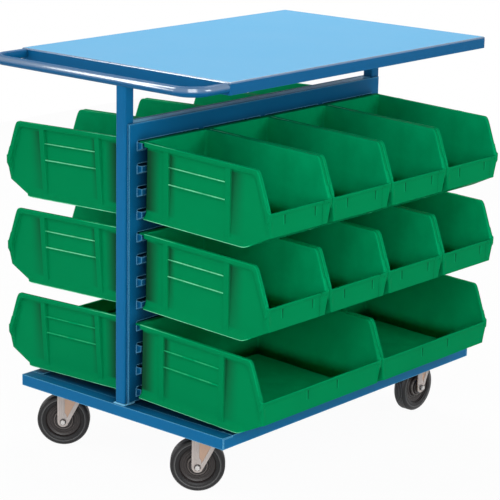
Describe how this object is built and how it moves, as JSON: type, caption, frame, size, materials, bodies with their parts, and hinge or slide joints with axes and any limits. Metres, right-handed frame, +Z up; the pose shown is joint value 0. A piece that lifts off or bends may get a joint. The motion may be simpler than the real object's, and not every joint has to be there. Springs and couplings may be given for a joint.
{
  "type": "mobile bin cart",
  "caption": "Wheeled deck with a louvered upright that carries hopper bins on both sides, a work table on top and a push handle at one end.",
  "frame": {"origin": "on the floor, under the centre of the cart's box from the handle's grip to the table's far end", "axes": "+X along the cart from the push handle at -X to the end with fixed casters, +Y across it to its back side, +Z up; the front side, at -Y, is the one that the picture shows"},
  "size_m": [1.0264, 0.7928, 0.931],
  "materials": {
    "frame_paint": "semi-gloss blue powder coat",
    "table_paint": "semi-gloss light blue powder coat",
    "bin_plastic": "satin moulded green polypropylene",
    "tyre": "satin black moulded rubber",
    "wheel_plastic": "satin dark moulded plastic",
    "zinc_plate": "bright zinc plate on pressed steel"
  },
  "bodies": {
    "frame": {"deck_sheet": "frame_paint", "deck_side_channel_back": "frame_paint", "deck_side_channel_front": "frame_paint", "deck_end_bar_far": "frame_paint", "deck_end_bar_handle": "frame_paint", "post_far": "frame_paint", "post_handle": "frame_paint", "top_rail": "frame_paint", "bottom_rail": "frame_paint", "louver_panel_back": "frame_paint", "louver_panel_front": "frame_paint", "work_table": "table_paint", "cross_channel_far": "frame_paint", "cross_channel_handle": "frame_paint", "push_handle": "table_paint", "swivel_plate_front": "zinc_plate", "ball_race_front": "zinc_plate", "fixed_fork_front": "zinc_plate", "axle_bolt_fixed_front": "zinc_plate", "swivel_plate_back": "zinc_plate", "ball_race_back": "zinc_plate", "fixed_fork_back": "zinc_plate", "axle_bolt_fixed_back": "zinc_plate"},
    "bin_front_top_1": {"bin_front_top_1": "bin_plastic"},
    "bin_front_top_2": {"bin_front_top_2": "bin_plastic"},
    "bin_front_top_3": {"bin_front_top_3": "bin_plastic"},
    "bin_front_top_4": {"bin_front_top_4": "bin_plastic"},
    "bin_front_middle_1": {"bin_front_middle_1": "bin_plastic"},
    "bin_front_middle_2": {"bin_front_middle_2": "bin_plastic"},
    "bin_front_middle_3": {"bin_front_middle_3": "bin_plastic"},
    "bin_front_middle_4": {"bin_front_middle_4": "bin_plastic"},
    "bin_front_bottom_1": {"bin_front_bottom_1": "bin_plastic"},
    "bin_front_bottom_2": {"bin_front_bottom_2": "bin_plastic"},
    "bin_back_top_1": {"bin_back_top_1": "bin_plastic"},
    "bin_back_top_2": {"bin_back_top_2": "bin_plastic"},
    "bin_back_top_3": {"bin_back_top_3": "bin_plastic"},
    "bin_back_top_4": {"bin_back_top_4": "bin_plastic"},
    "bin_back_middle_1": {"bin_back_middle_1": "bin_plastic"},
    "bin_back_middle_2": {"bin_back_middle_2": "bin_plastic"},
    "bin_back_middle_3": {"bin_back_middle_3": "bin_plastic"},
    "bin_back_middle_4": {"bin_back_middle_4": "bin_plastic"},
    "bin_back_bottom_1": {"bin_back_bottom_1": "bin_plastic"},
    "bin_back_bottom_2": {"bin_back_bottom_2": "bin_plastic"},
    "swivel_caster_front": {"swivel_fork_front": "zinc_plate", "axle_bolt_swivel_front": "zinc_plate"},
    "swivel_wheel_front": {"tyre_swivel_front": "tyre", "wheel_centre_swivel_front": "wheel_plastic"},
    "fixed_wheel_front": {"tyre_fixed_front": "tyre", "wheel_centre_fixed_front": "wheel_plastic"},
    "swivel_caster_back": {"swivel_fork_back": "zinc_plate", "axle_bolt_swivel_back": "zinc_plate"},
    "swivel_wheel_back": {"tyre_swivel_back": "tyre", "wheel_centre_swivel_back": "wheel_plastic"},
    "fixed_wheel_back": {"tyre_fixed_back": "tyre", "wheel_centre_fixed_back": "wheel_plastic"}
  },
  "joints": [
    {"name": "lift_bin_front_top_1", "type": "slide", "parent": "frame", "child": "bin_front_top_1", "axis": [0, -0.0349, 0.9994], "range_m": [0, 0.02]},
    {"name": "lift_bin_front_top_2", "type": "slide", "parent": "frame", "child": "bin_front_top_2", "axis": [0, -0.0349, 0.9994], "range_m": [0, 0.02]},
    {"name": "lift_bin_front_top_3", "type": "slide", "parent": "frame", "child": "bin_front_top_3", "axis": [0, -0.0349, 0.9994], "range_m": [0, 0.02]},
    {"name": "lift_bin_front_top_4", "type": "slide", "parent": "frame", "child": "bin_front_top_4", "axis": [0, -0.0349, 0.9994], "range_m": [0, 0.02]},
    {"name": "lift_bin_front_middle_1", "type": "slide", "parent": "frame", "child": "bin_front_middle_1", "axis": [0, -0.0349, 0.9994], "range_m": [0, 0.02]},
    {"name": "lift_bin_front_middle_2", "type": "slide", "parent": "frame", "child": "bin_front_middle_2", "axis": [0, -0.0349, 0.9994], "range_m": [0, 0.02]},
    {"name": "lift_bin_front_middle_3", "type": "slide", "parent": "frame", "child": "bin_front_middle_3", "axis": [0, -0.0349, 0.9994], "range_m": [0, 0.02]},
    {"name": "lift_bin_front_middle_4", "type": "slide", "parent": "frame", "child": "bin_front_middle_4", "axis": [0, -0.0349, 0.9994], "range_m": [0, 0.02]},
    {"name": "lift_bin_front_bottom_1", "type": "slide", "parent": "frame", "child": "bin_front_bottom_1", "axis": [0, -0.0349, 0.9994], "range_m": [0, 0.02]},
    {"name": "lift_bin_front_bottom_2", "type": "slide", "parent": "frame", "child": "bin_front_bottom_2", "axis": [0, -0.0349, 0.9994], "range_m": [0, 0.02]},
    {"name": "lift_bin_back_top_1", "type": "slide", "parent": "frame", "child": "bin_back_top_1", "axis": [0, 0.0349, 0.9994], "range_m": [0, 0.02]},
    {"name": "lift_bin_back_top_2", "type": "slide", "parent": "frame", "child": "bin_back_top_2", "axis": [0, 0.0349, 0.9994], "range_m": [0, 0.02]},
    {"name": "lift_bin_back_top_3", "type": "slide", "parent": "frame", "child": "bin_back_top_3", "axis": [0, 0.0349, 0.9994], "range_m": [0, 0.02]},
    {"name": "lift_bin_back_top_4", "type": "slide", "parent": "frame", "child": "bin_back_top_4", "axis": [0, 0.0349, 0.9994], "range_m": [0, 0.02]},
    {"name": "lift_bin_back_middle_1", "type": "slide", "parent": "frame", "child": "bin_back_middle_1", "axis": [0, 0.0349, 0.9994], "range_m": [0, 0.02]},
    {"name": "lift_bin_back_middle_2", "type": "slide", "parent": "frame", "child": "bin_back_middle_2", "axis": [0, 0.0349, 0.9994], "range_m": [0, 0.02]},
    {"name": "lift_bin_back_middle_3", "type": "slide", "parent": "frame", "child": "bin_back_middle_3", "axis": [0, 0.0349, 0.9994], "range_m": [0, 0.02]},
    {"name": "lift_bin_back_middle_4", "type": "slide", "parent": "frame", "child": "bin_back_middle_4", "axis": [0, 0.0349, 0.9994], "range_m": [0, 0.02]},
    {"name": "lift_bin_back_bottom_1", "type": "slide", "parent": "frame", "child": "bin_back_bottom_1", "axis": [0, 0.0349, 0.9994], "range_m": [0, 0.02]},
    {"name": "lift_bin_back_bottom_2", "type": "slide", "parent": "frame", "child": "bin_back_bottom_2", "axis": [0, 0.0349, 0.9994], "range_m": [0, 0.02]},
    {"name": "swivel_front", "type": "hinge", "parent": "frame", "child": "swivel_caster_front", "pos_m": [-0.32375, -0.211, 0.14], "axis": [0, 0, 1], "continuous": true},
    {"name": "spin_swivel_wheel_front", "type": "hinge", "parent": "swivel_caster_front", "child": "swivel_wheel_front", "pos_m": [-0.34737, -0.18383, 0.06081], "axis": [0.7547, 0.6561, 0], "continuous": true},
    {"name": "spin_fixed_wheel_front", "type": "hinge", "parent": "frame", "child": "fixed_wheel_front", "pos_m": [0.41625, -0.211, 0.06081], "axis": [0, 1, 0], "continuous": true},
    {"name": "swivel_back", "type": "hinge", "parent": "frame", "child": "swivel_caster_back", "pos_m": [-0.32375, 0.211, 0.14], "axis": [0, 0, 1], "continuous": true},
    {"name": "spin_swivel_wheel_back", "type": "hinge", "parent": "swivel_caster_back", "child": "swivel_wheel_back", "pos_m": [-0.34737, 0.23817, 0.06081], "axis": [0.7547, 0.6561, 0], "continuous": true},
    {"name": "spin_fixed_wheel_back", "type": "hinge", "parent": "frame", "child": "fixed_wheel_back", "pos_m": [0.41625, 0.211, 0.06081], "axis": [0, 1, 0], "continuous": true}
  ]
}
